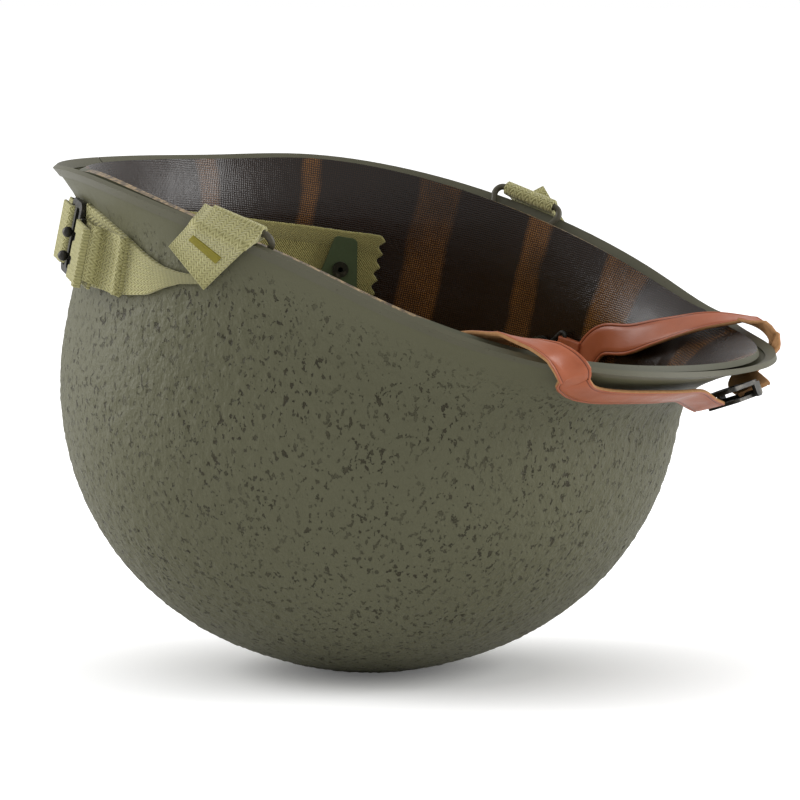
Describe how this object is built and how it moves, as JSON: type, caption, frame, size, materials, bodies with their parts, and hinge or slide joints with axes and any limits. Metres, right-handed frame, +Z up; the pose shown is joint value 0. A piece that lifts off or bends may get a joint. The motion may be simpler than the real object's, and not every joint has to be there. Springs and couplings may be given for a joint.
{
  "type": "steel pot helmet with liner",
  "caption": "Steel pot helmet lying on its crown, with webbing chinstrap, resin-canvas liner, suspension bands and leather strap over the visor.",
  "frame": {"origin": "middle of the underside of the bounding box, on the surface that the crown lies on", "axes": "+X towards the visor, +Z up, so +Y is the wearer's right side; the helmet lies crown down with its rim tilted towards the visor"},
  "size_m": [0.2744, 0.2666, 0.1912],
  "materials": {
    "shell_paint": "matt, cork-textured olive drab",
    "rim_paint": "worn dark paint",
    "bail_steel": "worn olive paint",
    "strap_webbing": "khaki cotton webbing",
    "blackened_steel": "blackened",
    "resin_canvas": "glossy resin over canvas",
    "eyelet_brass": "aged",
    "suspension_webbing": "khaki webbing",
    "lace_cotton": "cotton lace",
    "washer_paint": "green paint",
    "small_steel": "dull, worn",
    "strap_leather": "reddish brown, creased edges",
    "sweatband_leather": "tan, worn"
  },
  "bodies": {
    "shell": {"steel_shell": "shell_paint", "rim_band": "rim_paint", "left_bail_bracket": "bail_steel", "right_bail_bracket": "bail_steel", "left_strap_run": "strap_webbing", "right_strap_run": "strap_webbing", "left_strap_tail": "strap_webbing", "right_strap_end": "strap_webbing", "chinstrap_catch": "blackened_steel", "chinstrap_hook": "blackened_steel", "leather_buckle": "small_steel"},
    "left_bail_body": {"left_bail": "bail_steel", "left_strap_loop": "strap_webbing"},
    "right_bail_body": {"right_bail": "bail_steel", "right_strap_loop": "strap_webbing"},
    "left_clip_body": {"left_wire_clip": "small_steel", "left_leather_loop": "strap_leather"},
    "right_clip_body": {"right_wire_clip": "small_steel", "right_leather_loop": "strap_leather"},
    "strap_clamp": {"leather_clamp": "small_steel"},
    "liner": {"liner_bowl": "resin_canvas", "liner_eyelet": "eyelet_brass", "head_band": "suspension_webbing", "nape_band": "suspension_webbing", "head_band_washers": "washer_paint", "nape_band_washers": "washer_paint", "head_band_rivets": "small_steel", "nape_band_rivets": "small_steel", "crown_strap_front": "suspension_webbing", "crown_strap_side": "suspension_webbing", "crown_strap_rear": "suspension_webbing", "crown_lace": "lace_cotton", "sweatband": "sweatband_leather", "sweatband_clips": "small_steel", "left_strap_stud": "small_steel", "right_strap_stud": "small_steel", "left_leather_strap": "strap_leather", "right_leather_strap": "strap_leather"}
  },
  "joints": [
    {"name": "left_bail_swivel", "type": "hinge", "parent": "shell", "child": "left_bail_body", "pos_m": [-0.01066, -0.11608, 0.1657], "axis": [0.9435, 0, -0.3313], "range_deg": [-12, 1], "deforming": ["left_strap_run"]},
    {"name": "right_bail_swivel", "type": "hinge", "parent": "shell", "child": "right_bail_body", "pos_m": [-0.01066, 0.11559, 0.1657], "axis": [-0.9435, 0, 0.3313], "range_deg": [-12, 1], "deforming": ["right_strap_run"]},
    {"name": "liner_lift_out", "type": "slide", "parent": "shell", "child": "liner", "axis": [0.225, 0, 0.9744], "range_m": [0, 0.19], "deforming": ["left_leather_strap", "right_leather_strap"]},
    {"name": "left_clip_swivel", "type": "hinge", "parent": "liner", "child": "left_clip_body", "pos_m": [0.00301, -0.10702, 0.11595], "axis": [0.2505, -0.9664, -0.0578], "range_deg": [-8, 8], "deforming": ["left_leather_strap"]},
    {"name": "right_clip_swivel", "type": "hinge", "parent": "liner", "child": "right_clip_body", "pos_m": [0.00301, 0.10653, 0.11595], "axis": [0.2505, 0.9664, -0.0578], "range_deg": [-8, 8], "deforming": ["right_leather_strap"]},
    {"name": "strap_clamp_lever", "type": "hinge", "parent": "shell", "child": "strap_clamp", "pos_m": [0.1219, 0.02931, 0.10548], "axis": [0.9088, -0.3155, 0.2729], "range_deg": [0, 75]}
  ]
}
